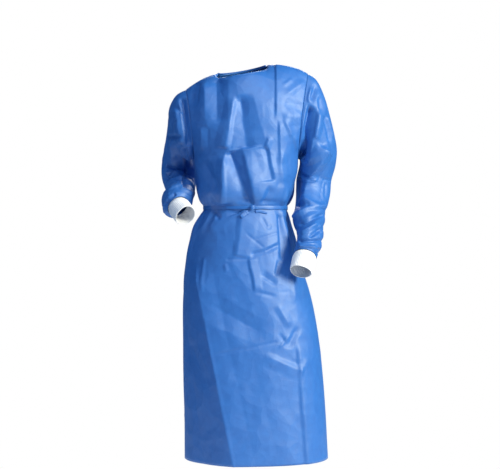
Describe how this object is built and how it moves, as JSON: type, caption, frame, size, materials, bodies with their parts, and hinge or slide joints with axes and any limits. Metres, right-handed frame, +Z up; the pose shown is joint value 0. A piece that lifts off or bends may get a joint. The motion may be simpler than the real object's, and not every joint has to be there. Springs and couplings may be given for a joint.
{
  "type": "surgical gown",
  "caption": "A blue non-woven surgical gown with white knitted cuffs, tied at the waist, in the hollow form it takes when worn, one arm bent and one let down.",
  "frame": {"origin": "the middle of the neck seat, where the gown hangs from a wearer's or a form's shoulders", "axes": "+X to the wearer's left, +Y to the back of the gown, +Z up"},
  "size_m": [0.5453, 0.3821, 1.1998],
  "materials": {
    "blue_nonwoven": "spun-bonded polypropylene non-woven with a slight satin sheen and sharp paper-like creases",
    "blue_binding": "folded strip of the same non-woven",
    "white_knit": "ribbed cotton and polyester knit",
    "white_fastener": "touch-fastener tape"
  },
  "bodies": {
    "root": {"front_panel": "blue_nonwoven", "back_left_panel": "blue_nonwoven", "back_right_panel": "blue_nonwoven", "sleeve_left": "blue_nonwoven", "sleeve_right": "blue_nonwoven", "cuff_left": "white_knit", "cuff_right": "white_knit", "neck_binding": "blue_binding", "neck_fastener": "white_fastener", "waist_tie": "blue_binding", "waist_knot": "blue_binding", "tie_end_left": "blue_binding", "tie_end_right": "blue_binding"}
  },
  "joints": []
}
